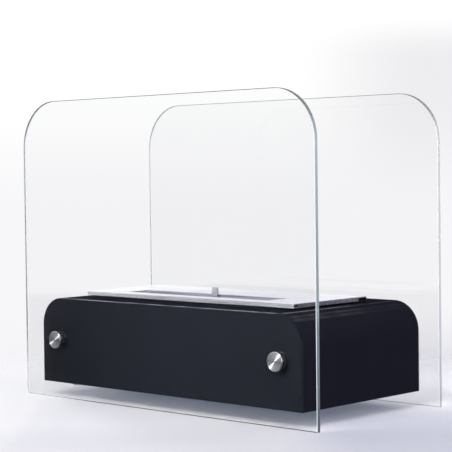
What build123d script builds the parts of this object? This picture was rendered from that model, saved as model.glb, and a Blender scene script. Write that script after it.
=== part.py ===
from build123d import *
import os

# Tabletop bioethanol fireplace. Millimetres; +X to the right, +Y to the rear, +Z up.
# The origin lies on the floor, under the middle of the space between the two glass panes.

# ---------------------------------------------------------------- glass panes
glass_width = 350.0
glass_height = 270.0
glass_thickness = 4.0
glass_corner_radius = 42.0
glass_arris = 0.35              # small bevel ground along every glass edge
glass_hole_radius = 5.0         # round a standoff's shank and its sleeve

# ---------------------------------------------------------------- body box
body_width = 312.0
body_depth = 155.0              # over the front and rear panels
body_height = 77.5
floor_clearance = 13.0          # from the floor to the underside of the box
shoulder_radius = 25.0
wrap_sheet = 1.5
panel_sheet = 2.0
panel_edge_radius = 0.6
base_sheet = 1.5
base_clearance = 0.2            # between the base plate's edges and the sheets round it

# ---------------------------------------------------------------- standoffs that clamp the glass
standoff_inset = 23.0           # axis from the side of the box
standoff_height = 52.5          # axis above the floor
cap_radius = 8.0
cap_thickness = 1.5
cap_chamfer = 0.4
shank_radius = 3.0
shank_tip_length = 2.0          # how far the shank stands out of its nut
thread_clearance = 0.05         # radial, between a shank and its nut
hole_clearance = 0.2            # radial, round a shank in a plain hole
cap_washer_radius = 7.0
cap_washer_thickness = 0.5
spacer_washer_radius = 7.0
spacer_washer_thickness = 2.5   # sets the gap between glass and box
sleeve_clearance = 0.1
spring_washer_radius = 5.5
spring_washer_thickness = 1.2
spring_washer_split = 1.0
nut_across_flats = 10.0
nut_height = 5.0

# ---------------------------------------------------------------- base fixings
base_tab_inset = 35.0           # middle of a tab from the side of the box
base_tab_width = 16.0
base_tab_reach = 15.0
base_tab_rise = 18.0
base_tab_sheet = 2.0
base_screw_radius = 2.0
base_screw_length = 8.0
base_screw_head_radius = 4.0
base_screw_head_height = 2.0
insert_barrel_wall = 1.0
insert_flange_width = 1.0
insert_flange_height = 0.8

# ---------------------------------------------------------------- burner plate
# the slot sets the damper and its rails, these set the tank, and the tank's flange sets the plate
slot_length = 170.0
slot_width = 27.0
slot_corner_radius = 1.0
slot_lip_depth = 3.0            # the slot's edges are turned down this far
plate_sheet = 1.0
plate_corner_radius = 1.5
plate_fold_radius = 0.5
plate_end_clearance = 6.5       # between the tank's flange and the rim, at the ends
plate_side_clearance = 1.0      # and along the sides
rim_depth = 3.7
rim_hover = 1.6                 # gap between the rim and the top of the box
burner_offset = -2.7            # middle of the plate, in Y
corner_relief_length = 5.5      # opening of the fold at the front corners of the side rims
corner_relief_height = 1.5
lift_notch_length = 11.2        # open end of the side rims at the rear corners

# ---------------------------------------------------------------- fuel tank and its filling
tank_end_room = 9.2             # between the rails' feet and the tank's ends
tank_front_room = 0.3           # in front of the rails
tank_rear_room = 14.6           # behind them
tank_depth = 58.0
tank_sheet = 1.0
tank_corner_radius = 8.0
tank_floor_radius = 3.0
tank_flange = 8.5
tank_gap = 1.5                  # between the tank and the cut-out in the box
gasket_inset = 0.5              # the gasket lies this far inside the flange's edge
gasket_setback = 1.0            # and this far outside the cut-out
wool_clearance = 0.5
wool_headroom = 2.4             # between the perforated sheet and the damper's rivets
wool_edge_radius = 2.5
mesh_sheet = 0.8
mesh_hole_radius = 4.0
mesh_pitch = 12.0
mesh_edge = 2.0                 # least sheet left outside the outer holes

# ---------------------------------------------------------------- damper slide, its rails and its tab
damper_sheet = 1.0
damper_gap = 0.2                # above and below the sliding sheet
damper_corner_radius = 1.5
damper_front_overlap = 0.8      # past the slot's lip when shut
damper_rear_overlap = 2.5
damper_end_overlap = 5.0
rail_sheet = 1.0
rail_ledge = 3.5                # how far the damper's ends lie on the rails
rail_end_gap = 0.3
rail_foot = 6.5
rail_overrun = 0.4
tab_width = 7.0
tab_sheet = 1.0
tab_rise = 6.0                  # above the burner plate
tab_corner_radius = 1.2
tab_stop_gap = 0.5              # to the slot's edge at either end of the travel
tab_slit_clearance = 0.2
tab_foot_length = 7.0
tab_foot_width = 12.0
rivet_radius = 1.0
rivet_clearance = 0.05
rivet_head_radius = 1.7
rivet_head_height = 0.6
rivet_spacing = 7.5

# ---------------------------------------------------------------- places that follow from the sizes
# distances out of the middle plane of the box, the same at the front and at the rear
panel_outer = body_depth / 2
panel_inner = panel_outer - panel_sheet
glass_inner = panel_outer + spacer_washer_thickness
glass_outer = glass_inner + glass_thickness
cap_seat = glass_outer + cap_washer_thickness
cap_face = cap_seat + cap_thickness
nut_seat = panel_inner - spring_washer_thickness
nut_end = nut_seat - nut_height
shank_end = nut_end - shank_tip_length
shank_hole_radius = shank_radius + hole_clearance
standoff_x = body_width / 2 - standoff_inset
standoff_spots = [(-standoff_x, standoff_height), (standoff_x, standoff_height)]

# heights
body_top = floor_clearance + body_height
base_top = floor_clearance + base_sheet
base_tab_top = base_top + base_tab_sheet
rim_bottom = body_top + rim_hover
plate_top = rim_bottom + rim_depth
plate_underside = plate_top - plate_sheet
lip_bottom = plate_top - slot_lip_depth
damper_top = lip_bottom - damper_gap
damper_bottom = damper_top - damper_sheet
rail_ledge_top = damper_bottom - damper_gap
tab_foot_bottom = damper_bottom - tab_sheet
tab_top = plate_top + tab_rise
flange_underside = plate_underside - tank_sheet
tank_bottom = plate_underside - tank_depth
tank_floor = tank_bottom + tank_sheet
wool_top = tab_foot_bottom - rivet_head_height - wool_headroom - mesh_sheet

# ends of the damper and its rails, in X
damper_end_x = slot_length / 2 + plate_sheet + damper_end_overlap
rail_tip_x = damper_end_x - rail_ledge
rail_web_x = damper_end_x + rail_end_gap
rail_foot_x = rail_web_x + rail_sheet + rail_foot

# travel of the damper, its depth from front to rear and the rails' length
damper_travel = slot_width - tab_sheet - 2 * tab_stop_gap
damper_depth = slot_width + 2 * plate_sheet + damper_front_overlap + damper_rear_overlap
rail_length = damper_depth + damper_travel + 2 * rail_overrun

# lengths and widths
wrap_inner_width = body_width - 2 * wrap_sheet
base_tab_x = body_width / 2 - base_tab_inset
tank_inner_length = 2 * (rail_foot_x + tank_end_room)
tank_inner_width = tank_front_room + rail_length + tank_rear_room
tank_inner_corner = tank_corner_radius - tank_sheet
tank_length = tank_inner_length + 2 * tank_sheet
tank_width = tank_inner_width + 2 * tank_sheet
flange_length = tank_length + 2 * tank_flange
flange_width = tank_width + 2 * tank_flange
plate_length = flange_length + 2 * (plate_end_clearance + plate_sheet)
plate_width = flange_width + 2 * (plate_side_clearance + plate_sheet)
cutout_length = tank_length + 2 * tank_gap
cutout_width = tank_width + 2 * tank_gap
cutout_corner_radius = tank_corner_radius + tank_gap
wool_length = tank_inner_length - 2 * wool_clearance
wool_width = tank_inner_width - 2 * wool_clearance
wool_corner = tank_inner_corner - wool_clearance
mesh_margin = 2 * (mesh_edge + mesh_hole_radius)
mesh_columns = int((wool_length - mesh_margin) / mesh_pitch) + 1
mesh_rows = int((wool_width - mesh_margin) / mesh_pitch) + 1

# places in Y
base_screw_y = panel_inner - base_tab_reach / 2
side_rim_front_y = burner_offset - plate_width / 2 + plate_sheet
side_rim_rear_y = burner_offset + plate_width / 2 - plate_sheet
rail_front_y = burner_offset - tank_inner_width / 2 + tank_front_room
rail_rear_y = rail_front_y + rail_length
damper_rear_y = rail_rear_y - rail_overrun
damper_front_y = damper_rear_y - damper_depth
slot_front_y = damper_front_y - damper_travel + damper_front_overlap + plate_sheet
slot_rear_y = slot_front_y + slot_width
slot_y = (slot_front_y + slot_rear_y) / 2
tab_rear_y = slot_rear_y - tab_stop_gap
tab_front_y = tab_rear_y - tab_sheet
tab_foot_end_y = tab_rear_y + tab_foot_length
rivet_y = tab_rear_y + tab_foot_length / 2

# upright planes through the origin that face out of the front and out of the rear
sides = {
    "front": Plane.XZ,
    "rear": Plane(origin=(0, 0, 0), x_dir=(-1, 0, 0), z_dir=(0, 1, 0)),
}


# ---------------------------------------------------------------- shared outlines
def arch(plane, width, bottom, top, corner_radius):
    """Upright face with a square foot and two rounded top corners."""
    with BuildSketch(plane) as outline:
        with Locations((0, bottom)):
            Rectangle(width, top - bottom, align=(Align.CENTER, Align.MIN))
        fillet(outline.vertices().group_by(Axis.Y)[-1], corner_radius)
    return outline.sketch


def burner_outline(height, length, width, corner_radius, y=burner_offset):
    """Level rounded rectangle at a height, centred on the burner unless y says otherwise."""
    with BuildSketch(Plane.XY.offset(height)) as outline:
        with Locations((0, y)):
            RectangleRounded(length, width, corner_radius)
    return outline.sketch


def standoff_discs(radius, start, length, mode=Mode.ADD):
    """Discs on the four standoff axes, from start outwards, as distances from the middle plane."""
    for side in sides.values():
        with BuildSketch(side.offset(start)) as discs:
            with Locations(*standoff_spots):
                Circle(radius)
        extrude(discs.sketch, amount=length, mode=mode)


def base_discs(radius, bottom, length, mode=Mode.ADD):
    """Discs on the four base screw axes, from a height upwards."""
    with BuildSketch(Plane.XY.offset(bottom)) as discs:
        with GridLocations(2 * base_tab_x, 2 * base_screw_y, 2, 2):
            Circle(radius)
    extrude(discs.sketch, amount=length, mode=mode)


os.makedirs("parts", exist_ok=True)

# ================================================================ glass panes
for side_name, side in sides.items():
    with BuildPart() as pane:
        extrude(arch(side.offset(glass_inner), glass_width, 0, glass_height, glass_corner_radius),
                amount=glass_thickness)
        standoff_discs(glass_hole_radius, glass_inner, glass_thickness, Mode.SUBTRACT)
        broad_faces = pane.faces().sort_by(SortBy.AREA)[-2:]
        chamfer([edge for face in broad_faces for edge in face.outer_wire().edges()], glass_arris)
    pane.part.label = f"{side_name}_glass"
    export_step(pane.part, f"parts/{side_name}_glass.step")

# ================================================================ standoffs
# cap and threaded shank in one piece, turned from brushed steel
with BuildPart() as standoff_caps:
    standoff_discs(cap_radius, cap_seat, cap_thickness)
    cap_rims = standoff_caps.edges().filter_by(GeomType.CIRCLE)
    cap_rims = cap_rims.filter_by(lambda rim: abs(abs(rim.arc_center.Y) - cap_face) < cap_chamfer)
    chamfer(cap_rims, cap_chamfer)
    standoff_discs(shank_radius - thread_clearance, shank_end, cap_seat - shank_end)
standoff_caps.part.label = "standoff_caps"
export_step(standoff_caps.part, "parts/standoff_caps.step")

# thin clear washers under the caps
with BuildPart() as cap_washers:
    standoff_discs(cap_washer_radius, glass_outer, cap_washer_thickness)
    standoff_discs(shank_hole_radius, glass_outer, cap_washer_thickness, Mode.SUBTRACT)
cap_washers.part.label = "cap_washers"
export_step(cap_washers.part, "parts/cap_washers.step")

# plastic sleeves that keep the shanks off the glass
with BuildPart() as hole_sleeves:
    standoff_discs(glass_hole_radius - sleeve_clearance, glass_inner, glass_thickness)
    standoff_discs(shank_hole_radius, glass_inner, glass_thickness, Mode.SUBTRACT)
hole_sleeves.part.label = "hole_sleeves"
export_step(hole_sleeves.part, "parts/hole_sleeves.step")

# black rubber washers between the glass and the box
with BuildPart() as spacer_washers:
    standoff_discs(spacer_washer_radius, panel_outer, spacer_washer_thickness)
    standoff_discs(shank_hole_radius, panel_outer, spacer_washer_thickness, Mode.SUBTRACT)
spacer_washers.part.label = "spacer_washers"
export_step(spacer_washers.part, "parts/spacer_washers.step")

# split spring washers behind the panels
with BuildPart() as spring_washers:
    standoff_discs(spring_washer_radius, nut_seat, spring_washer_thickness)
    standoff_discs(shank_hole_radius, nut_seat, spring_washer_thickness, Mode.SUBTRACT)
    for side in sides.values():
        with BuildSketch(side.offset(nut_seat)) as splits:
            with Locations(*standoff_spots):
                Rectangle(spring_washer_split, 2 * spring_washer_radius, align=(Align.CENTER, Align.MIN))
        extrude(amount=spring_washer_thickness, mode=Mode.SUBTRACT)
spring_washers.part.label = "spring_washers"
export_step(spring_washers.part, "parts/spring_washers.step")

# hexagon nuts on the shanks
with BuildPart() as clamp_nuts:
    for side in sides.values():
        with BuildSketch(side.offset(nut_end)) as hexagons:
            with Locations(*standoff_spots):
                RegularPolygon(nut_across_flats / 2, 6, major_radius=False)
        extrude(amount=nut_height)
    standoff_discs(shank_radius, nut_end, nut_height, Mode.SUBTRACT)
clamp_nuts.part.label = "clamp_nuts"
export_step(clamp_nuts.part, "parts/clamp_nuts.step")

# ================================================================ body box
# one bent sheet over the top, the shoulders and the sides, open below, with the burner's cut-out
with BuildPart() as body_shell:
    extrude(arch(Plane.XZ, body_width, floor_clearance, body_top, shoulder_radius),
            amount=panel_inner, both=True)
    extrude(arch(Plane.XZ, wrap_inner_width, floor_clearance, body_top - wrap_sheet,
                 shoulder_radius - wrap_sheet),
            amount=panel_inner, both=True, mode=Mode.SUBTRACT)
    extrude(burner_outline(body_top, cutout_length, cutout_width, cutout_corner_radius),
            amount=-wrap_sheet, mode=Mode.SUBTRACT)
body_shell.part.label = "body_shell"
export_step(body_shell.part, "parts/body_shell.step")

# flat panels that close the wrap at the front and at the rear
for side_name, side in sides.items():
    with BuildPart() as panel:
        extrude(arch(side.offset(panel_inner), body_width, floor_clearance, body_top, shoulder_radius),
                amount=panel_sheet)
        outer_face = panel.faces().filter_by(Axis.Y).sort_by(Axis.Y)[0 if side_name == "front" else -1]
        fillet(outer_face.edges(), panel_edge_radius)
        standoff_discs(shank_hole_radius, panel_inner, panel_sheet, Mode.SUBTRACT)
    panel.part.label = f"{side_name}_panel"
    export_step(panel.part, f"parts/{side_name}_panel.step")

# flat sheet that closes the box from below, between the wrap's legs and the panels
with BuildPart() as base_plate:
    with BuildSketch(Plane.XY.offset(floor_clearance)):
        Rectangle(wrap_inner_width - 2 * base_clearance, 2 * (panel_inner - base_clearance))
    extrude(amount=base_sheet)
    base_discs(base_screw_radius + hole_clearance, floor_clearance, base_sheet, Mode.SUBTRACT)
base_plate.part.label = "base_plate"
export_step(base_plate.part, "parts/base_plate.step")

# angle tabs welded inside the panels, lying on the base plate
with BuildPart() as base_tabs:
    with BuildSketch(Plane.YZ.offset(base_tab_x)):
        with BuildLine():
            Polyline((panel_inner, base_top),
                     (panel_inner - base_tab_reach, base_top),
                     (panel_inner - base_tab_reach, base_tab_top),
                     (panel_inner - base_tab_sheet, base_tab_top),
                     (panel_inner - base_tab_sheet, base_top + base_tab_rise),
                     (panel_inner, base_top + base_tab_rise),
                     close=True)
        make_face()
    extrude(amount=base_tab_width / 2, both=True)
    mirror(about=Plane.XZ)
    mirror(about=Plane.YZ)
    base_discs(base_screw_radius + insert_barrel_wall, base_top, base_tab_sheet, Mode.SUBTRACT)
base_tabs.part.label = "base_tabs"
export_step(base_tabs.part, "parts/base_tabs.step")

# flanged threaded inserts pressed into the tabs
with BuildPart() as base_inserts:
    base_discs(base_screw_radius + insert_barrel_wall, base_top, base_tab_sheet)
    base_discs(base_screw_radius + insert_barrel_wall + insert_flange_width, base_tab_top,
               insert_flange_height)
    base_discs(base_screw_radius, base_top, base_tab_sheet + insert_flange_height, Mode.SUBTRACT)
base_inserts.part.label = "base_inserts"
export_step(base_inserts.part, "parts/base_inserts.step")

# pan-head screws that hold the base plate from below
with BuildPart() as base_screws:
    base_discs(base_screw_head_radius, floor_clearance - base_screw_head_height, base_screw_head_height)
    head_rims = base_screws.edges().group_by(Axis.Z)[0]
    fillet(head_rims, base_screw_head_height / 2)
    base_discs(base_screw_radius - thread_clearance, floor_clearance, base_screw_length)
base_screws.part.label = "base_screws"
export_step(base_screws.part, "parts/base_screws.step")

# ================================================================ burner
# stainless plate with a folded-down rim and one long slot with turned-down edges
with BuildPart() as burner_plate:
    extrude(burner_outline(rim_bottom, plate_length, plate_width, plate_corner_radius), amount=rim_depth)
    fillet(burner_plate.faces().sort_by(Axis.Z)[-1].edges(), plate_fold_radius)
    extrude(burner_outline(rim_bottom, plate_length - 2 * plate_sheet, plate_width - 2 * plate_sheet,
                           plate_corner_radius - plate_sheet),
            amount=rim_depth - plate_sheet, mode=Mode.SUBTRACT)
    extrude(burner_outline(lip_bottom, slot_length + 2 * plate_sheet, slot_width + 2 * plate_sheet,
                           slot_corner_radius + plate_sheet, slot_y),
            amount=slot_lip_depth - plate_sheet)
    extrude(burner_outline(lip_bottom, slot_length, slot_width, slot_corner_radius, slot_y),
            amount=slot_lip_depth, mode=Mode.SUBTRACT)
    fillet(burner_plate.faces().sort_by(Axis.Z)[-1].inner_wires()[0].edges(), plate_fold_radius)
    with BuildSketch(Plane.YZ):
        with Locations((side_rim_front_y, plate_underside)):
            Rectangle(corner_relief_length, corner_relief_height, align=(Align.MIN, Align.MAX))
        with Locations((side_rim_rear_y, plate_underside)):
            Rectangle(lift_notch_length, plate_underside - rim_bottom, align=(Align.MAX, Align.MAX))
    extrude(amount=plate_length / 2, both=True, mode=Mode.SUBTRACT)
burner_plate.part.label = "burner_plate"
export_step(burner_plate.part, "parts/burner_plate.step")

# drawn tank with an outward flange, welded under the plate
with BuildPart() as fuel_tank:
    extrude(burner_outline(tank_bottom, tank_length, tank_width, tank_corner_radius), amount=tank_depth)
    fillet(fuel_tank.faces().sort_by(Axis.Z)[0].edges(), tank_floor_radius)
    offset(amount=-tank_sheet, openings=fuel_tank.faces().sort_by(Axis.Z)[-1])
    extrude(burner_outline(flange_underside, flange_length, flange_width, tank_corner_radius + tank_flange),
            amount=tank_sheet)
    extrude(burner_outline(flange_underside, tank_inner_length, tank_inner_width, tank_inner_corner),
            amount=tank_sheet, mode=Mode.SUBTRACT)
fuel_tank.part.label = "fuel_tank"
export_step(fuel_tank.part, "parts/fuel_tank.step")

# graphite-filled fibre gasket between the flange and the top of the box
with BuildPart() as flange_gasket:
    extrude(burner_outline(body_top, flange_length - 2 * gasket_inset, flange_width - 2 * gasket_inset,
                           tank_corner_radius + tank_flange - gasket_inset),
            amount=flange_underside - body_top)
    extrude(burner_outline(body_top, cutout_length + 2 * gasket_setback, cutout_width + 2 * gasket_setback,
                           cutout_corner_radius + gasket_setback),
            amount=flange_underside - body_top, mode=Mode.SUBTRACT)
flange_gasket.part.label = "flange_gasket"
export_step(flange_gasket.part, "parts/flange_gasket.step")

# absorbent ceramic wool that fills the tank
with BuildPart() as ceramic_wool:
    extrude(burner_outline(tank_floor, wool_length, wool_width, wool_corner), amount=wool_top - tank_floor)
    fillet(ceramic_wool.faces().filter_by(Axis.Z).edges(), wool_edge_radius)
ceramic_wool.part.label = "ceramic_wool"
export_step(ceramic_wool.part, "parts/ceramic_wool.step")

# perforated sheet that holds the wool down
with BuildPart() as wool_mesh:
    with BuildSketch(Plane.XY.offset(wool_top)):
        with Locations((0, burner_offset)):
            RectangleRounded(wool_length, wool_width, wool_corner)
            with GridLocations(mesh_pitch, mesh_pitch, mesh_columns, mesh_rows):
                Circle(mesh_hole_radius, mode=Mode.SUBTRACT)
    extrude(amount=mesh_sheet)
wool_mesh.part.label = "wool_mesh"
export_step(wool_mesh.part, "parts/wool_mesh.step")

# stepped strips welded under the plate, one at each end of the slot, that carry the damper's ends
with BuildPart() as slide_rails:
    with BuildSketch(Plane.XZ.offset(-rail_rear_y)):
        with BuildLine():
            Polyline((rail_tip_x, rail_ledge_top - rail_sheet),
                     (rail_web_x + rail_sheet, rail_ledge_top - rail_sheet),
                     (rail_web_x + rail_sheet, plate_underside - rail_sheet),
                     (rail_foot_x, plate_underside - rail_sheet),
                     (rail_foot_x, plate_underside),
                     (rail_web_x, plate_underside),
                     (rail_web_x, rail_ledge_top),
                     (rail_tip_x, rail_ledge_top),
                     close=True)
        make_face()
    extrude(amount=rail_length)
    mirror(about=Plane.YZ)
slide_rails.part.label = "slide_rails"
export_step(slide_rails.part, "parts/slide_rails.step")

# ================================================================ damper, shown fully open
with BuildPart() as damper_slide:
    extrude(burner_outline(damper_bottom, 2 * damper_end_x, damper_depth, damper_corner_radius,
                           (damper_front_y + damper_rear_y) / 2),
            amount=damper_sheet)
    with BuildSketch(Plane.XY.offset(damper_bottom)):
        with Locations((0, (tab_front_y + tab_rear_y) / 2)):
            Rectangle(tab_width + 2 * tab_slit_clearance, tab_sheet + 2 * tab_slit_clearance)
        with Locations((-rivet_spacing / 2, rivet_y), (rivet_spacing / 2, rivet_y)):
            Circle(rivet_radius + rivet_clearance)
    extrude(amount=damper_sheet, mode=Mode.SUBTRACT)
damper_slide.part.label = "damper_slide"
export_step(damper_slide.part, "parts/damper_slide.step")

# upright handle that comes up through the damper, with a foot bent back under it
with BuildPart() as damper_tab:
    with BuildSketch(Plane.XZ.offset(-tab_rear_y)) as upright:
        with Locations((0, tab_foot_bottom)):
            Rectangle(tab_width, tab_top - tab_foot_bottom, align=(Align.CENTER, Align.MIN))
        fillet(upright.vertices().group_by(Axis.Y)[-1], tab_corner_radius)
    extrude(amount=tab_sheet)
    with BuildSketch(Plane.XY.offset(tab_foot_bottom)):
        with Locations((0, tab_front_y)):
            Rectangle(tab_foot_width, tab_foot_end_y - tab_front_y, align=(Align.CENTER, Align.MIN))
        with Locations((-rivet_spacing / 2, rivet_y), (rivet_spacing / 2, rivet_y)):
            Circle(rivet_radius + rivet_clearance, mode=Mode.SUBTRACT)
    extrude(amount=tab_sheet)
damper_tab.part.label = "damper_tab"
export_step(damper_tab.part, "parts/damper_tab.step")

# rivets that hold the foot to the damper, flush on top
with BuildPart() as tab_rivets:
    with BuildSketch(Plane.XY.offset(tab_foot_bottom)):
        with Locations((-rivet_spacing / 2, rivet_y), (rivet_spacing / 2, rivet_y)):
            Circle(rivet_radius)
    extrude(amount=damper_top - tab_foot_bottom)
    with BuildSketch(Plane.XY.offset(tab_foot_bottom)):
        with Locations((-rivet_spacing / 2, rivet_y), (rivet_spacing / 2, rivet_y)):
            Circle(rivet_head_radius)
    extrude(amount=-rivet_head_height)
tab_rivets.part.label = "tab_rivets"
export_step(tab_rivets.part, "parts/tab_rivets.step")
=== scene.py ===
import math

import bmesh
import bpy
from mathutils import Matrix, Vector, noise


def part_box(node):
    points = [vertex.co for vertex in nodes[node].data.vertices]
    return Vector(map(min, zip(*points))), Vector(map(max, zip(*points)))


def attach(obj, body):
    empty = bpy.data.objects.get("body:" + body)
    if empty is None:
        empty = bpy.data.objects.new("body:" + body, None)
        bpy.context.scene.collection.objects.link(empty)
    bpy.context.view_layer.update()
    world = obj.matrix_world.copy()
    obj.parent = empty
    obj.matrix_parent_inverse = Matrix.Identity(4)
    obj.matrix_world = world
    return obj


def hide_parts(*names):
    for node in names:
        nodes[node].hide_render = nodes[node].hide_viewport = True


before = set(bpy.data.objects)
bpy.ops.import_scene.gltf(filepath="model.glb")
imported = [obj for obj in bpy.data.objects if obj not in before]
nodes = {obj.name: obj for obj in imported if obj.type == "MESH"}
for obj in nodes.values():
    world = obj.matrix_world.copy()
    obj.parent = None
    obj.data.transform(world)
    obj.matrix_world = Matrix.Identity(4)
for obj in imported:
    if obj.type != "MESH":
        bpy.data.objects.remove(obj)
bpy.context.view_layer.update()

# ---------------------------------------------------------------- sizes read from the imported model
cap_low, cap_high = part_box("standoff_caps")
CAP_RADIUS = (cap_high.z - cap_low.z) / 2
STANDOFF_X = cap_high.x - CAP_RADIUS
STANDOFF_Z = (cap_high.z + cap_low.z) / 2

# ---------------------------------------------------------------- wool, in metres and per metre
WOOL_CORNER = 0.0055
WOOL_CORNER_STEPS = 4
WOOL_GRAIN = 0.0028
WOOL_RELIEF = 0.0016
WOOL_LUMPS = 90.0
WOOL_TUFTS = 260.0

# ---------------------------------------------------------------- camera
FRAME_PIXELS = 452
FOCAL_PIXELS = 1525.90
SENSOR_MM = 36.0
CAMERA_YAW = math.radians(42.9594)
CAMERA_PITCH = math.radians(1.9860)
CAMERA_ROLL = math.radians(-0.7052)
CAMERA_DISTANCE = 1.3595
CAMERA_TARGET = Vector((0.0025, 0.0, 0.1557))
LOOK = Vector((-math.sin(CAMERA_YAW), math.cos(CAMERA_YAW), 0.0))
LEVEL = Vector((math.cos(CAMERA_YAW), math.sin(CAMERA_YAW), 0.0))

# Colours are linear light, and tones are pairs of them, dark and light. Bands and tilts are pairs of
# where something sets in and where it is full, fades of where it is full and where it is gone. They are
# in metres, tilts are parts of a direction, and those of haze, patches and streaks are noise levels.
UNTINTED = (1.0, 1.0, 1.0)
NOISE_MIDDLE = (0.3, 0.7)

# ---------------------------------------------------------------- panes
GLASS_IOR = 1.5
GLASS_CLEAR = (0.975, 0.978, 0.978)
GLASS_SHADOW = (0.96, 0.975, 0.972)
HAZE_BAND = (0.45, 0.8)
HAZE_ROUGHNESS = 0.006
# Edge tones are painted light. The front pane's edges are darker and the rear's lighter; in each, foot is
# painted shade towards the floor, crown painted shade along the top, and under the painted foot line, dark as a
# painted shadow on the front pane and pale on the rear.
EDGE_FRONT = {"body": (0.165, 0.225, 0.252), "foot": (0.06, 0.085, 0.10), "under": (0.02, 0.025, 0.03),
              "crown": (0.085, 0.12, 0.13), "right": 0.0, "below": 0.0}
EDGE_REAR = {"body": (0.46, 0.49, 0.51), "foot": (0.36, 0.40, 0.42), "under": (0.60, 0.61, 0.64),
             "crown": (0.24, 0.27, 0.285), "right": 0.25, "below": 1.0}
# Painted light: the pale tone that the edges and the foot line take at the left foot.
EDGE_LEFT_FOOT_LIGHT = (0.80, 0.82, 0.84)
ARRIS_WHITE = (0.94, 0.96, 0.98)
# Painted shade: the dark tone of arrises that face up.
ARRIS_UPPER_SHADE = (0.035, 0.035, 0.035)
PANE_LEFT_BAND = (0.02, -0.02)
PANE_TOE_BAND = (-0.08, -0.17)
PANE_HEIGHT_BAND = (0.0, 0.078)
CROWN_TILT = (0.2, 0.6)
ARRIS_LIFTED_TILT = (0.05, 0.6)
ARRIS_UPRIGHT_TILT = (-0.4, -0.1)
EDGE_TO_ARRIS_TILT = (0.35, 0.6)
ARRIS_TO_FACE_TILT = (0.9, 0.985)
LEFT_FOOT_GAP = 0.6
TOE_GAP = 0.8

# ---------------------------------------------------------------- powder coat
# One black coat in two tone pairs, set apart as painted light on the sides and top against the front and rear.
WRAP_TONES = ((0.0086, 0.0088, 0.0134), (0.0107, 0.0110, 0.0166))
PANEL_TONES = ((0.0080, 0.0097, 0.0148), (0.0096, 0.0118, 0.0176))
WRAP_ROUGHNESS = 0.50
PANEL_ROUGHNESS = 0.30
COAT_ROUGHNESS_SPREAD = 0.05
PANEL_SHEEN = 0.12
SHEEN_FADE_TILT = (0.05, 0.3)
# Painted highlight: the coat is made paler along folded shoulders and on edges that face up, in patches and less
# towards the rear.
COAT_PAINTED_HIGHLIGHT = (0.22, 0.225, 0.245)
HIGHLIGHT_TILT = (0.35, 0.75)
HIGHLIGHT_SIDE_BAND = (0.134, 0.126)
HIGHLIGHT_REAR_FADE = (-0.06, 0.06)
HIGHLIGHT_AT_REAR = 0.2
HIGHLIGHT_PATCH_BAND = (0.35, 0.6)
HIGHLIGHT_LEAST = 0.45
SHOULDER_HIGHLIGHTS = ((0.13, 0.07, 0.60), (0.45, 0.09, 0.13), (0.60, 0.09, 0.10))
# Painted shade: the colour that darkens the panels towards their left end.
COAT_LEFT_SHADE = (0.45, 0.47, 0.52)
COAT_LEFT_SHADE_FADE = (-0.156, 0.0)

# ---------------------------------------------------------------- stainless steel
SHEET_TONES = ((0.86, 0.865, 0.91), (0.98, 0.98, 1.0))
# Painted shade: darker tone pairs of the same brushed stainless, for the upright tab and for the parts inside
# the body.
UPRIGHT_SHADED_TONES = ((0.56, 0.565, 0.60), (0.68, 0.68, 0.71))
SHADED_STEEL_TONES = ((0.26, 0.26, 0.30), (0.38, 0.38, 0.42))
TURNED_TONES = ((0.62, 0.625, 0.68), (0.94, 0.945, 1.0))
FINE_STREAKS = (14.0, 3200.0, 3200.0)
BROAD_STREAKS = (5.0, 420.0, 420.0)
FINE_SHARE = 0.7
STREAK_BAND = (0.32, 0.68)
# Painted shade on brushed steel: faces that point right are darker, and the burner plate darker towards its
# right end and on the lip that faces forward behind the slot.
STEEL_RIGHT_SHADE = (0.82, 0.82, 0.855)
STEEL_RIGHT_SHADE_BAND = (-0.12, 0.03)
STEEL_SIDE_SHADE = (0.77, 0.765, 0.79)
STEEL_SIDE_SHADE_TILT = (0.5, 0.9)
STEEL_LIP_SHADE = (0.76, 0.75, 0.83)
LIP_SHADE_TILT = (-0.3, -0.7)
LIP_SHADE_BAND = (-0.042, -0.036)
# Painted shade: the left cap is darker.
CAP_LEFT_SHADE = (0.69, 0.69, 0.70)
CAP_LEFT_SHADE_BAND = (0.05, -0.05)

# ---------------------------------------------------------------- other materials
ZINC_TONES = ((0.52, 0.55, 0.60), (0.72, 0.74, 0.77))
PLASTIC_TONES = ((0.86, 0.88, 0.88), (0.95, 0.96, 0.96))
PLASTIC_IOR = 1.49
RUBBER_TONES = ((0.010, 0.010, 0.011), (0.022, 0.022, 0.024))
CERAMIC_TONES = ((0.62, 0.60, 0.55), (0.86, 0.85, 0.81))
CERAMIC_FIBRES = (500.0, 2600.0, 900.0)
LUMP_SHARE = 0.4
# Painted shade: the gasket's tones are dark so that the gap under the plate's rim reads as shade.
GRAPHITE_SHADE_TONES = ((0.008, 0.008, 0.009), (0.022, 0.022, 0.024))
GRAPHITE_FIBRES = (900.0, 900.0, 2600.0)

# ---------------------------------------------------------------- floor
FLOOR_RADIUS = 1.2
FLOOR_SIDES = 96
# Painted light on the floor: lighter to the left, with painted shade to the right and towards the camera.
FLOOR_LEFT_LIGHT = (0.95, 0.93, 0.88)
FLOOR_COLOUR = (0.84, 0.815, 0.80)
FLOOR_LEFT_LIGHT_BAND = (-0.19, -0.15)
FLOOR_RIGHT_SHADE = (0.66, 0.65, 0.705)
FLOOR_RIGHT_SHADE_BAND = (0.03, 0.11)
FLOOR_RIGHT_SHADE_DEPTH_BAND = (-0.04, -0.15)
FLOOR_NEAR_SHADE = (0.855, 0.86, 0.865)
FLOOR_NEAR_SHADE_BAND = (-0.11, -0.22)
FLOOR_FADE = (0.17, 0.48)
FLOOR_LEFT_FADE = (-0.14, -0.19)
FLOOR_LEFT_CLEAR = 0.45
FLOOR_LIFT = 0.215
SHADE_TINT = (0.68, 0.775, 1.0)

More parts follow.
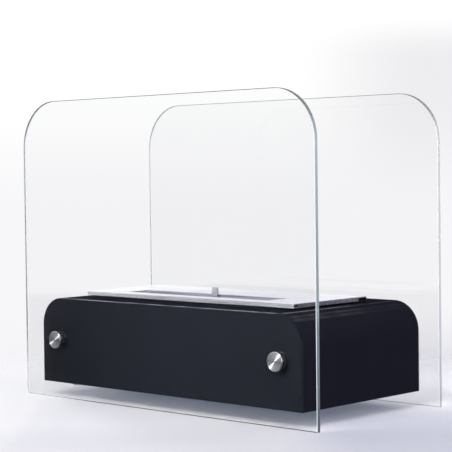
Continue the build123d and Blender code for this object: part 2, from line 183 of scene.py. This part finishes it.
# ---------------------------------------------------------------- backdrop and room
BACKDROP_TOP = (1.02, 1.02, 1.02)
BACKDROP_MIDDLE = (0.93, 0.925, 0.945)
BACKDROP_TOP_TILT = (-0.03, 0.06)
BACKDROP_CLOUD = (0.855, 0.85, 0.87)
CLOUD_SIDE_TILT = (0.03, 0.13)
CLOUD_TOP_TILT = (0.105, 0.072)
BACKDROP_FLOOR_LEFT = (0.90, 0.895, 0.935)
BACKDROP_FLOOR_RIGHT = (0.68, 0.685, 0.76)
BACKDROP_RIGHT_TILT = (-0.15, 0.12)
BACKDROP_WALL_TILT = (-0.15, -0.085)
BEHIND_WAY = (LOOK + Vector((0.0, 0.0, 0.5))).normalized()
BEHIND_TILT = (0.3, 0.85)
ROOM_PALE = (0.80, 0.80, 0.82)
ROOM_DARK = (0.02, 0.022, 0.026)
CARD_TOP_TILT = (-0.074, -0.081)
CARD_FOOT_TILT = (-0.99, -0.93)
ROOM_DIM = (0.22, 0.22, 0.24)
DIM_WAY = Vector((-0.1, -1.0, 0.0)).normalized()
DIM_TILT = (0.90, 0.96)
ROOM_WINDOW = (1.0, 1.0, 1.03)
WINDOW_LEFT_TILT = (-0.87, -0.93)
WINDOW_FOOT_TILT = (-0.10, -0.02)
ROOM_SIDE = (0.14, 0.135, 0.165)
SIDE_TILT = (0.0, 0.5)
FILL_SIDE = (0.80, 0.81, 0.90)
FILL_FRONT = (0.30, 0.31, 0.34)
FILL_WAY = Vector((-0.5, -0.85, 0.15)).normalized()
FILL_TILT = (-0.3, 0.8)

# ---------------------------------------------------------------- lamps: name, place, aim, side, watts, colour
WHITE = (1.0, 1.0, 1.0)
WARM = (1.0, 0.98, 0.95)
ORIGIN = (0.0, 0.0, 0.0)
SOFTBOXES = (
    ("softbox_small", (-0.887, -2.83, 0.71), (0.0, -0.085, 0.05), 0.2, 22.0, WHITE),
    ("softbox_left", (-1.60, 0.55, 0.36), ORIGIN, 0.3, 17.0, WHITE),
    ("softbox_right", (1.25, -0.20, 0.40), (0.0, 0.0, 0.03), 0.5, 5.0, WHITE),
    ("softbox_high_front", (0.20, -1.20, 1.15), ORIGIN, 0.35, 8.8, WARM),
    ("softbox_high_back", (0.55, 1.30, 0.85), ORIGIN, 0.5, 2.8, WARM),
)


# ================================================================ node tools
class Shader:
    """A node material being built."""

    def __init__(self, name, owner=None):
        self.material = owner or bpy.data.materials.new(name)
        self.material.use_nodes = True
        self.tree = self.material.node_tree
        self.tree.nodes.clear()

    def add(self, kind, **settings):
        node = self.tree.nodes.new(kind)
        for key, value in settings.items():
            setattr(node, key, value)
        return node

    def feed(self, socket, value):
        """Sets a socket to a constant, or links another node's socket to it."""
        if isinstance(value, bpy.types.NodeSocket):
            self.tree.links.new(value, socket)
        else:
            socket.default_value = value

    # ---------------------------------------------------------------- numbers
    def math(self, operation, a, b=0.0):
        node = self.add("ShaderNodeMath", operation=operation)
        self.feed(node.inputs[0], a)
        self.feed(node.inputs[1], b)
        return node.outputs[0]

    def times(self, first, *others):
        """Product of values."""
        for other in others:
            first = self.math("MULTIPLY", first, other)
        return first

    def flipped(self, value):
        """One minus a value."""
        return self.math("SUBTRACT", 1.0, value)

    def unsigned(self, value):
        return self.math("ABSOLUTE", value)

    def length(self, x, y):
        """Length of the step (x, y)."""
        return self.math("SQRT", self.math("ADD", self.times(x, x), self.times(y, y)))

    def average(self, a, b, share):
        """Mean of two values, where share is the weight of the first."""
        return self.math("ADD", self.times(a, share), self.times(b, 1.0 - share))

    def ramp(self, value, low, high, to_low=0.0, to_high=1.0, smooth=True):
        """Maps value from low..high to to_low..to_high, held at both ends."""
        node = self.add("ShaderNodeMapRange", clamp=True)
        node.interpolation_type = "SMOOTHSTEP" if smooth else "LINEAR"
        self.feed(node.inputs["Value"], value)
        node.inputs["From Min"].default_value = low
        node.inputs["From Max"].default_value = high
        node.inputs["To Min"].default_value = to_low
        node.inputs["To Max"].default_value = to_high
        return node.outputs["Result"]

    def vary(self, pattern, low=0.0, high=1.0):
        """Spreads the middle range of a noise pattern over low..high."""
        return self.ramp(pattern, *NOISE_MIDDLE, low, high)

    # ---------------------------------------------------------------- places and directions
    def place(self):
        """Place on the object in metres. It rides with the object."""
        return self.add("ShaderNodeTexCoord").outputs["Object"]

    def facing(self):
        """Parts of the direction in which the surface points. It rides with the object."""
        return self.split(self.add("ShaderNodeTexCoord").outputs["Normal"])

    def stretched(self, scale):
        """Place with each axis multiplied by its own scale."""
        node = self.add("ShaderNodeMapping")
        self.feed(node.inputs["Vector"], self.place())
        node.inputs["Scale"].default_value = scale
        return node.outputs["Vector"]

    def along(self, vector, axis):
        """Part of a vector along an axis."""
        node = self.add("ShaderNodeVectorMath", operation="DOT_PRODUCT")
        self.feed(node.inputs[0], vector)
        node.inputs[1].default_value = axis
        return node.outputs["Value"]

    def split(self, vector):
        node = self.add("ShaderNodeSeparateXYZ")
        self.feed(node.inputs[0], vector)
        return node.outputs

    def join(self, x, y, z):
        node = self.add("ShaderNodeCombineXYZ")
        self.feed(node.inputs[0], x)
        self.feed(node.inputs[1], y)
        self.feed(node.inputs[2], z)
        return node.outputs[0]

    # ---------------------------------------------------------------- patterns and colours
    def noise(self, vector, scale, detail=2.0, roughness=0.5, distortion=0.0):
        node = self.add("ShaderNodeTexNoise")
        self.feed(node.inputs["Vector"], vector)
        node.inputs["Scale"].default_value = scale
        node.inputs["Detail"].default_value = detail
        node.inputs["Roughness"].default_value = roughness
        node.inputs["Distortion"].default_value = distortion
        return node.outputs["Fac"]

    def bump(self, height, distance, strength):
        node = self.add("ShaderNodeBump")
        node.inputs["Strength"].default_value = strength
        node.inputs["Distance"].default_value = distance
        self.feed(node.inputs["Height"], height)
        return node.outputs["Normal"]

    def blend(self, factor, a, b):
        node = self.add("ShaderNodeMix", data_type="RGBA")
        self.feed(node.inputs["Factor"], factor)
        self.feed(node.inputs[6], (*a, 1.0) if isinstance(a, tuple) else a)
        self.feed(node.inputs[7], (*b, 1.0) if isinstance(b, tuple) else b)
        return node.outputs[2]

    def tinted(self, factor, colour, tint):
        """A colour multiplied by a tint, by a factor from 0 to 1."""
        node = self.add("ShaderNodeMix", data_type="RGBA", blend_type="MULTIPLY")
        self.feed(node.inputs["Factor"], factor)
        self.feed(node.inputs[6], colour)
        self.feed(node.inputs[7], (*tint, 1.0))
        return node.outputs[2]

    # ---------------------------------------------------------------- shaders
    def principled(self, **values):
        """Principled shader. Underscores in the names stand for spaces."""
        node = self.add("ShaderNodeBsdfPrincipled")
        for key, value in values.items():
            socket = node.inputs[key.replace("_", " ")]
            self.feed(socket, (*value, 1.0) if isinstance(value, tuple) and socket.type == "RGBA" else value)
        return node.outputs[0]

    def see_through(self, colour=UNTINTED):
        """Shader that lets everything pass, multiplied by a colour."""
        node = self.add("ShaderNodeBsdfTransparent")
        node.inputs["Color"].default_value = (*colour, 1.0)
        return node.outputs[0]

    def background(self, colour):
        node = self.add("ShaderNodeBackground")
        self.feed(node.inputs["Color"], colour)
        return node.outputs[0]

    def mix(self, factor, a, b):
        node = self.add("ShaderNodeMixShader")
        self.feed(node.inputs[0], factor)
        self.feed(node.inputs[1], a)
        self.feed(node.inputs[2], b)
        return node.outputs[0]

    def light_path(self):
        return self.add("ShaderNodeLightPath").outputs

    def finish(self, surface):
        world = isinstance(self.material, bpy.types.World)
        out = self.add("ShaderNodeOutputWorld" if world else "ShaderNodeOutputMaterial")
        self.feed(out.inputs["Surface"], surface)
        return self.material


# ================================================================ glass
def pane_zones(s):
    """How far each spot lies in each zone of a pane, from 0 to 1."""
    place = s.split(s.place())
    normal = s.facing()
    height = s.ramp(place[2], *PANE_HEIGHT_BAND)
    low = s.flipped(height)
    return {
        "flat": s.unsigned(normal[1]),
        "left": s.ramp(place[0], *PANE_LEFT_BAND),
        "height": height,
        "low": low,
        "toe": s.times(s.ramp(place[0], *PANE_TOE_BAND), low),
        "crown": s.times(s.ramp(s.unsigned(normal[2]), *CROWN_TILT), height),
        "lifted": s.ramp(normal[2], *ARRIS_LIFTED_TILT),
        "upright": s.ramp(normal[2], *ARRIS_UPRIGHT_TILT),
    }


def pane_border(s, edge, zone):
    """Polished edges in the glass's body colour between frosted arrises. The edges carry painted shade along
    the top and at the foot and painted light at the left foot; the arrises carry a painted dark line where
    they face up and a painted foot line where they face down."""
    grain = s.noise(s.place(), scale=2400.0)
    # Painted light on the edges: shade towards the foot, pale at the left foot, shade along the top.
    foot = s.blend(zone["left"], edge["foot"], EDGE_LEFT_FOOT_LIGHT)
    deep = s.blend(zone["height"], foot, s.blend(zone["crown"], edge["body"], edge["crown"]))
    polished = s.principled(Base_Color=s.blend(s.vary(grain, 0.0, 0.15), deep, ARRIS_WHITE),
                            Roughness=s.vary(grain, 0.42, 0.5), IOR=GLASS_IOR,
                            Specular_IOR_Level=0.1, Transmission_Weight=0.3)
    # Painted light on the arrises: the foot line below, pale at the left toe, and a dark line on those facing
    # up.
    under = s.blend(zone["toe"], edge["under"], EDGE_LEFT_FOOT_LIGHT)
    above = s.blend(zone["lifted"], ARRIS_WHITE, ARRIS_UPPER_SHADE)
    frosted = s.principled(Base_Color=s.blend(zone["upright"], under, above),
                           Roughness=s.vary(grain, 0.40, 0.55), IOR=GLASS_IOR,
                           Specular_IOR_Level=0.25, Transmission_Weight=0.1)
    return s.mix(s.ramp(zone["flat"], *EDGE_TO_ARRIS_TILT, smooth=False), polished, frosted)


def pane_gaps(s, edge, zone):
    """How see-through the upright edges and the underside are."""
    left = s.times(zone["left"], s.ramp(zone["height"], 0.0, 1.0, LEFT_FOOT_GAP, 0.0))
    right = s.times(s.flipped(zone["left"]), edge["right"])
    sides = s.times(s.math("ADD", left, right), s.math("SUBTRACT", zone["upright"], zone["lifted"]))
    sole = s.times(s.flipped(zone["upright"]), zone["low"])
    below = s.times(sole, s.ramp(zone["toe"], 0.0, 1.0, edge["below"], TOE_GAP))
    return s.math("ADD", sides, below)


def clear_glass(name, edge):
    """Float glass with clear faces and a border of polished edges and frosted arrises."""
    s = Shader(name)
    zone = pane_zones(s)
    haze = s.noise(s.place(), scale=18.0, detail=3.0)
    faces = s.principled(Base_Color=GLASS_CLEAR, Roughness=s.ramp(haze, *HAZE_BAND, 0.0, HAZE_ROUGHNESS),
                         IOR=GLASS_IOR, Transmission_Weight=1.0)
    border = s.mix(pane_gaps(s, edge, zone), pane_border(s, edge, zone), s.see_through())
    glass = s.mix(s.ramp(zone["flat"], *ARRIS_TO_FACE_TILT, smooth=False), border, faces)
    return s.finish(s.mix(s.light_path()["Is Shadow Ray"], glass, s.see_through(GLASS_SHADOW)))


# ================================================================ powder coat
def painted_highlight_lines(s, normal, place, highlight_bends, edge_highlight):
    """How much painted highlight the coat takes along folded shoulders and on edges that face up."""
    upper = s.times(s.ramp(normal[2], *HIGHLIGHT_TILT), s.ramp(s.unsigned(place[0]), *HIGHLIGHT_SIDE_BAND))
    pale = s.times(upper, edge_highlight)
    for tilt, width, strength in highlight_bends:
        off = s.unsigned(s.math("SUBTRACT", s.unsigned(normal[0]), tilt))
        pale = s.math("ADD", pale, s.ramp(off, 0.0, width, strength, 0.0))
    patchy = s.ramp(s.noise(s.place(), scale=42.0), *HIGHLIGHT_PATCH_BAND, HIGHLIGHT_LEAST, 1.0)
    return s.times(pale, patchy, s.ramp(place[1], *HIGHLIGHT_REAR_FADE, 1.0, HIGHLIGHT_AT_REAR))


def powder_coat(name, tones, roughness, sheen=0.0, highlight_bends=(), edge_highlight=0.0, left_end_shade=0.0):
    """Black powder coat with a fine orange peel. Sheen sets how strongly its upright faces mirror.
    The shoulder lines are (sine of the tilt, width, strength) of painted highlight lines along folded
    shoulders, the edge highlight is how much painted highlight the edges take that face up, and the
    left-end shade is how much of a painted shade colour the left end takes."""
    s = Shader(name)
    normal = s.facing()
    place = s.split(s.place())
    peel = s.noise(s.place(), scale=1500.0, roughness=0.55)
    drift = s.noise(s.place(), scale=26.0, detail=3.0)
    # Painted shade towards the left end.
    black = s.tinted(s.ramp(place[0], *COAT_LEFT_SHADE_FADE, left_end_shade, 0.0), s.blend(drift, *tones), COAT_LEFT_SHADE)
    # Painted highlight along folded shoulders and on edges that face up.
    colour = s.blend(painted_highlight_lines(s, normal, place, highlight_bends, edge_highlight), black, COAT_PAINTED_HIGHLIGHT)
    mirrors = s.ramp(normal[2], *SHEEN_FADE_TILT, sheen, 0.0) if sheen else 0.0
    return s.finish(s.principled(Base_Color=colour, Specular_IOR_Level=mirrors,
                                 Roughness=s.vary(drift, roughness, roughness + COAT_ROUGHNESS_SPREAD),
                                 Normal=s.bump(peel, distance=0.000008, strength=0.4)))


# ================================================================ steel
def straight_brushed_steel(name, tones, right_end_shade=UNTINTED, slot_lip_shade=UNTINTED):
    """Stainless sheet brushed along X, with painted shade: faces that point right are darker, the right-end
    shade multiplies its colour towards the right, and the slot-lip shade that of the lip that faces forward
    behind the slot."""
    s = Shader(name)
    fine = s.noise(s.stretched(FINE_STREAKS), scale=1.0, detail=3.0, roughness=0.6)
    broad = s.noise(s.stretched(BROAD_STREAKS), scale=1.0)
    grain = s.average(fine, broad, FINE_SHARE)
    place = s.split(s.place())
    normal = s.facing()
    # Painted shade on the lip behind the slot, towards the right end and on faces that point right.
    lip_shade_mask = s.times(s.ramp(normal[1], *LIP_SHADE_TILT), s.ramp(place[1], *LIP_SHADE_BAND))
    sheet = s.tinted(lip_shade_mask, s.blend(s.ramp(grain, *STREAK_BAND), *tones), slot_lip_shade)
    shaded = s.tinted(s.ramp(normal[0], *STEEL_SIDE_SHADE_TILT), sheet, STEEL_SIDE_SHADE)
    return s.finish(s.principled(Base_Color=s.tinted(s.ramp(place[0], *STEEL_RIGHT_SHADE_BAND), shaded, right_end_shade),
                                 Metallic=1.0, Roughness=s.vary(grain, 0.22, 0.38), Anisotropic=0.6,
                                 Tangent=s.join(1.0, 0.0, 0.0), Anisotropic_Rotation=0.25,
                                 Normal=s.bump(fine, distance=0.000006, strength=0.6)))


def turned_steel():
    """Stainless steel faced on a lathe: fine rings about each standoff's axis. The left cap is darker as painted
    shade.
    """
    s = Shader("turned_stainless")
    place = s.split(s.place())
    side = s.math("SIGN", place[0])
    across = s.times(s.math("SUBTRACT", s.unsigned(place[0]), STANDOFF_X), side)
    up = s.math("SUBTRACT", place[2], STANDOFF_Z)
    turned = s.join(s.length(across, up), place[1], side)
    rings = s.noise(turned, scale=3600.0, detail=3.0, roughness=0.65)
    # Painted shade on the left cap.
    colour = s.tinted(s.ramp(place[0], *CAP_LEFT_SHADE_BAND), s.blend(s.vary(rings), *TURNED_TONES), CAP_LEFT_SHADE)
    return s.finish(s.principled(Base_Color=colour, Metallic=1.0, Roughness=s.vary(rings, 0.29, 0.34),
                                 Anisotropic=0.97, Tangent=s.join(across, 0.0, up),
                                 Normal=s.bump(rings, distance=0.000008, strength=0.5)))


def zinc_plate():
    """Bright zinc plating with a faint bluish cast."""
    s = Shader("zinc_plate")
    cloud = s.noise(s.place(), scale=320.0, detail=3.0)
    return s.finish(s.principled(Base_Color=s.blend(cloud, *ZINC_TONES), Metallic=1.0,
                                 Roughness=s.vary(cloud, 0.24, 0.42),
                                 Normal=s.bump(cloud, distance=0.00002, strength=0.4)))


# ================================================================ plastic, rubber and fibre
def clear_plastic():
    """Slightly milky clear plastic."""
    s = Shader("clear_plastic")
    cloud = s.noise(s.place(), scale=500.0)
    return s.finish(s.principled(Base_Color=s.blend(cloud, *PLASTIC_TONES), IOR=PLASTIC_IOR,
                                 Roughness=s.vary(cloud, 0.12, 0.25), Transmission_Weight=0.85))


def black_rubber():
    """Matt black rubber."""
    s = Shader("black_rubber")
    grain = s.noise(s.place(), scale=2200.0, detail=3.0)
    return s.finish(s.principled(Base_Color=s.blend(grain, *RUBBER_TONES),
                                 Roughness=s.vary(grain, 0.62, 0.82),
                                 Normal=s.bump(grain, distance=0.00004, strength=0.5)))


def ceramic_fibre():
    """Off-white matted ceramic fibre."""
    s = Shader("ceramic_fibre")
    lumps = s.noise(s.place(), scale=260.0, detail=4.0, distortion=1.5)
    fibres = s.noise(s.stretched(CERAMIC_FIBRES), scale=1.0, detail=4.0, roughness=0.7, distortion=3.0)
    mat = s.average(lumps, fibres, LUMP_SHARE)
    return s.finish(s.principled(Base_Color=s.blend(s.vary(mat), *CERAMIC_TONES),
                                 Roughness=s.vary(mat, 0.85, 1.0),
                                 Normal=s.bump(mat, distance=0.0003, strength=0.8)))


def graphite_fibre():
    """Matt dark fibre filled with graphite, kept dark as painted shade in the gap under the plate's rim."""
    s = Shader("graphite_fibre")
    mat = s.noise(s.stretched(GRAPHITE_FIBRES), scale=1.0, detail=4.0, roughness=0.7, distortion=2.0)
    return s.finish(s.principled(Base_Color=s.blend(mat, *GRAPHITE_SHADE_TONES), Specular_IOR_Level=0.2,
                                 Roughness=s.vary(mat, 0.75, 0.95),
                                 Normal=s.bump(mat, distance=0.0001, strength=0.6)))


# ================================================================ pieces made here
def put_in_scene(name, data):
    """New object that is part of the scene."""
    thing = bpy.data.objects.new(name, data)
    bpy.context.scene.collection.objects.link(thing)
    return thing


def plain_slab(low, high):
    """Mesh of a slab with rounded upright corners."""
    bm = bmesh.new()
    bmesh.ops.create_cube(bm, size=1.0)
    bmesh.ops.scale(bm, vec=high - low, verts=bm.verts)
    bmesh.ops.translate(bm, vec=(low + high) / 2, verts=bm.verts)
    upright = [edge for edge in bm.edges if abs(edge.verts[0].co.z - edge.verts[1].co.z) > WOOL_CORNER]
    bmesh.ops.bevel(bm, geom=upright, offset=WOOL_CORNER, segments=WOOL_CORNER_STEPS, profile=0.5,
                    affect="EDGES")
    mesh = bpy.data.meshes.new("wool_fill")
    bm.to_mesh(mesh)
    bm.free()
    return mesh


def finely_meshed(mesh):
    """The same form with small even faces."""
    draft = put_in_scene("wool_draft", mesh)
    remesh = draft.modifiers.new("remesh", "REMESH")
    remesh.mode = "VOXEL"
    remesh.voxel_size = WOOL_GRAIN
    dense = bpy.data.meshes.new_from_object(draft.evaluated_get(bpy.context.evaluated_depsgraph_get()))
    bpy.data.objects.remove(draft)
    return dense


def build_wool():
    """Loose-edged slab of matted fibre in place of the model's plain block."""
    low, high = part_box("ceramic_wool")
    middle = (low + high) / 2
    mesh = finely_meshed(plain_slab(low, high))
    for vertex in mesh.vertices:
        lump = noise.noise(vertex.co * WOOL_LUMPS) + 0.5 * noise.noise(vertex.co * WOOL_TUFTS)
        depth = WOOL_RELIEF * (1.0 + lump) / 2
        inward = (middle - vertex.co).normalized()
        vertex.co += inward * max(depth, 0.0)
    mesh.shade_smooth()
    mesh.materials.append(ceramic_fibre())
    wool = put_in_scene("wool_fill", mesh)
    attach(wool, "burner")
    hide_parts("ceramic_wool")


# ================================================================ dressing the model
def dress(material, *names):
    """Gives CAD nodes a material."""
    for name in names:
        slots = nodes[name].material_slots
        if not slots:
            nodes[name].data.materials.append(material)
        for slot in slots:
            slot.material = material


def dress_all():
    wrap = powder_coat("black_coat_wrap", WRAP_TONES, WRAP_ROUGHNESS, highlight_bends=SHOULDER_HIGHLIGHTS)
    panels = powder_coat("black_coat_panels", PANEL_TONES, PANEL_ROUGHNESS, PANEL_SHEEN, edge_highlight=1.0, left_end_shade=1.0)
    sheet = straight_brushed_steel("brushed_stainless_sheet", SHEET_TONES, STEEL_RIGHT_SHADE, STEEL_LIP_SHADE)
    # Copies of the same brushed stainless, darker as painted shade.
    upright = straight_brushed_steel("upright_shaded_stainless_sheet", UPRIGHT_SHADED_TONES)
    shaded_sheet = straight_brushed_steel("shaded_stainless_sheet", SHADED_STEEL_TONES)
    # The two panes are one glass; their materials differ only in the painted light and see-through gaps of their
    # edges.
    dress(clear_glass("clear_glass_front", EDGE_FRONT), "front_glass")
    dress(clear_glass("clear_glass_rear", EDGE_REAR), "rear_glass")
    dress(wrap, "body_shell", "base_plate", "base_tabs")
    dress(panels, "front_panel", "rear_panel")
    dress(turned_steel(), "standoff_caps")
    dress(sheet, "burner_plate")
    dress(upright, "damper_tab")
    dress(shaded_sheet, "fuel_tank", "wool_mesh", "slide_rails", "damper_slide", "tab_rivets")
    dress(zinc_plate(), "spring_washers", "clamp_nuts", "base_inserts", "base_screws")
    dress(clear_plastic(), "cap_washers", "hole_sleeves")
    dress(black_rubber(), "spacer_washers")
    dress(graphite_fibre(), "flange_gasket")


# ================================================================ studio
def floor_material():
    """Matt pale floor with painted light, lighter to the left and with painted shade to the right and towards
    the camera. A bluish see-through share lifts its shadows, and it is clear where it fades into the backdrop
    and where it would be mirrored.
    """
    s = Shader("floor")
    place = s.split(s.place())
    sideways = s.along(s.place(), LEVEL)
    depth = s.along(s.place(), LOOK)
    # Painted light: lighter to the left, painted shade to the right and towards the camera.
    plain = s.blend(s.ramp(sideways, *FLOOR_LEFT_LIGHT_BAND), FLOOR_LEFT_LIGHT, FLOOR_COLOUR)
    right_shade_mask = s.times(s.ramp(sideways, *FLOOR_RIGHT_SHADE_BAND), s.ramp(depth, *FLOOR_RIGHT_SHADE_DEPTH_BAND))
    tone = s.tinted(s.ramp(depth, *FLOOR_NEAR_SHADE_BAND), s.blend(right_shade_mask, plain, FLOOR_RIGHT_SHADE), FLOOR_NEAR_SHADE)
    matt = s.add("ShaderNodeBsdfDiffuse")
    s.feed(matt.inputs["Color"], tone)
    lifted = s.mix(FLOOR_LIFT, matt.outputs[0], s.see_through(SHADE_TINT))
    rim = s.ramp(s.length(place[0], place[1]), *FLOOR_FADE)
    far = s.math("MAXIMUM", rim, s.ramp(sideways, *FLOOR_LEFT_FADE, 0.0, FLOOR_LEFT_CLEAR))
    path = s.light_path()
    mirrored = s.math("MINIMUM", path["Glossy Depth"], s.flipped(path["Diffuse Depth"]))
    return s.finish(s.mix(s.math("MAXIMUM", far, mirrored), lifted, s.see_through()))


def build_floor():
    """A pale round floor under the object."""
    bm = bmesh.new()
    bmesh.ops.create_circle(bm, cap_ends=True, radius=FLOOR_RADIUS, segments=FLOOR_SIDES)
    mesh = bpy.data.meshes.new("floor")
    bm.to_mesh(mesh)
    bm.free()
    mesh.materials.append(floor_material())
    floor = put_in_scene("floor", mesh)


def backdrop_colour(s, sideways, rise):
    """Pale wall with a faint cloud low on its right, over a floor that darkens to the right."""
    ground = s.blend(s.ramp(sideways, *BACKDROP_RIGHT_TILT), BACKDROP_FLOOR_LEFT, BACKDROP_FLOOR_RIGHT)
    cloud = s.times(s.ramp(sideways, *CLOUD_SIDE_TILT), s.ramp(rise, *CLOUD_TOP_TILT))
    top = s.blend(cloud, BACKDROP_TOP, BACKDROP_CLOUD)
    wall = s.blend(s.ramp(rise, *BACKDROP_TOP_TILT), BACKDROP_MIDDLE, top)
    return s.blend(s.ramp(rise, *BACKDROP_WALL_TILT), ground, wall)


def room_colour(s, direction, sideways, shown):
    """The backdrop behind and above the object, a dim wall on the right and, in front, a pale wall with
    a dim patch and a window on the left, over a black card that reaches down from just below eye level."""
    part = s.split(direction)
    card = s.times(s.ramp(part[2], *CARD_TOP_TILT), s.ramp(part[2], *CARD_FOOT_TILT))
    window = s.times(s.ramp(part[0], *WINDOW_LEFT_TILT), s.ramp(part[2], *WINDOW_FOOT_TILT))
    dim = s.ramp(s.along(direction, DIM_WAY), *DIM_TILT)
    plain = s.blend(card, ROOM_PALE, ROOM_DARK)
    front = s.blend(window, s.blend(dim, plain, ROOM_DIM), ROOM_WINDOW)
    around = s.blend(s.ramp(sideways, *SIDE_TILT), front, ROOM_SIDE)
    return s.blend(s.ramp(s.along(direction, BEHIND_WAY), *BEHIND_TILT), around, shown)


def build_world():
    """A backdrop for what is seen directly or through glass, a room for what is mirrored, and a
    soft fill for what is lit."""
    world = bpy.data.worlds.new("studio")
    bpy.context.scene.world = world
    s = Shader("studio", world)
    direction = s.add("ShaderNodeTexCoord").outputs["Generated"]
    sideways = s.along(direction, LEVEL)
    shown = backdrop_colour(s, sideways, s.split(direction)[2])
    room = room_colour(s, direction, sideways, shown)
    fill = s.blend(s.ramp(s.along(direction, FILL_WAY), *FILL_TILT), FILL_SIDE, FILL_FRONT)

    path = s.light_path()
    undiffused = s.flipped(s.math("MINIMUM", path["Diffuse Depth"], 1.0))
    unmirrored = s.flipped(s.math("MINIMUM", path["Glossy Depth"], 1.0))
    through = s.times(path["Is Transmission Ray"], undiffused, unmirrored)
    seen = s.math("MAXIMUM", path["Is Camera Ray"], through)
    reflected = s.times(path["Is Glossy Ray"], undiffused)
    lit = s.mix(reflected, s.background(fill), s.background(room))
    s.finish(s.mix(seen, lit, s.background(shown)))


def add_softbox(name, place, aim, side, watts, colour):
    """Square soft lamp that the camera sees neither directly nor through glass."""
    lamp = bpy.data.lights.new(name, "AREA")
    lamp.shape = "RECTANGLE"
    lamp.size = side
    lamp.size_y = side
    lamp.energy = watts
    lamp.color = colour
    box = put_in_scene(name, lamp)
    box.location = place
    box.rotation_euler = (Vector(aim) - Vector(place)).to_track_quat("-Z", "Y").to_euler()
    box.visible_camera = False
    box.visible_transmission = False


def build_camera():
    back = Vector((math.sin(CAMERA_YAW) * math.cos(CAMERA_PITCH),
                   -math.cos(CAMERA_YAW) * math.cos(CAMERA_PITCH),
                   math.sin(CAMERA_PITCH)))
    upright = back.cross(LEVEL)
    right = math.cos(CAMERA_ROLL) * LEVEL + math.sin(CAMERA_ROLL) * upright
    up = math.cos(CAMERA_ROLL) * upright - math.sin(CAMERA_ROLL) * LEVEL
    place = CAMERA_TARGET + back * CAMERA_DISTANCE
    data = bpy.data.cameras.new("camera")
    data.sensor_width = SENSOR_MM
    data.lens = FOCAL_PIXELS * SENSOR_MM / FRAME_PIXELS
    camera = put_in_scene("camera", data)
    camera.matrix_world = Matrix.Translation(place) @ Matrix((right, up, back)).transposed().to_4x4()
    bpy.context.scene.camera = camera


dress_all()
build_wool()
build_floor()
build_world()
for softbox in SOFTBOXES:
    add_softbox(*softbox)
build_camera()
bpy.context.scene.view_settings.view_transform = "Standard"
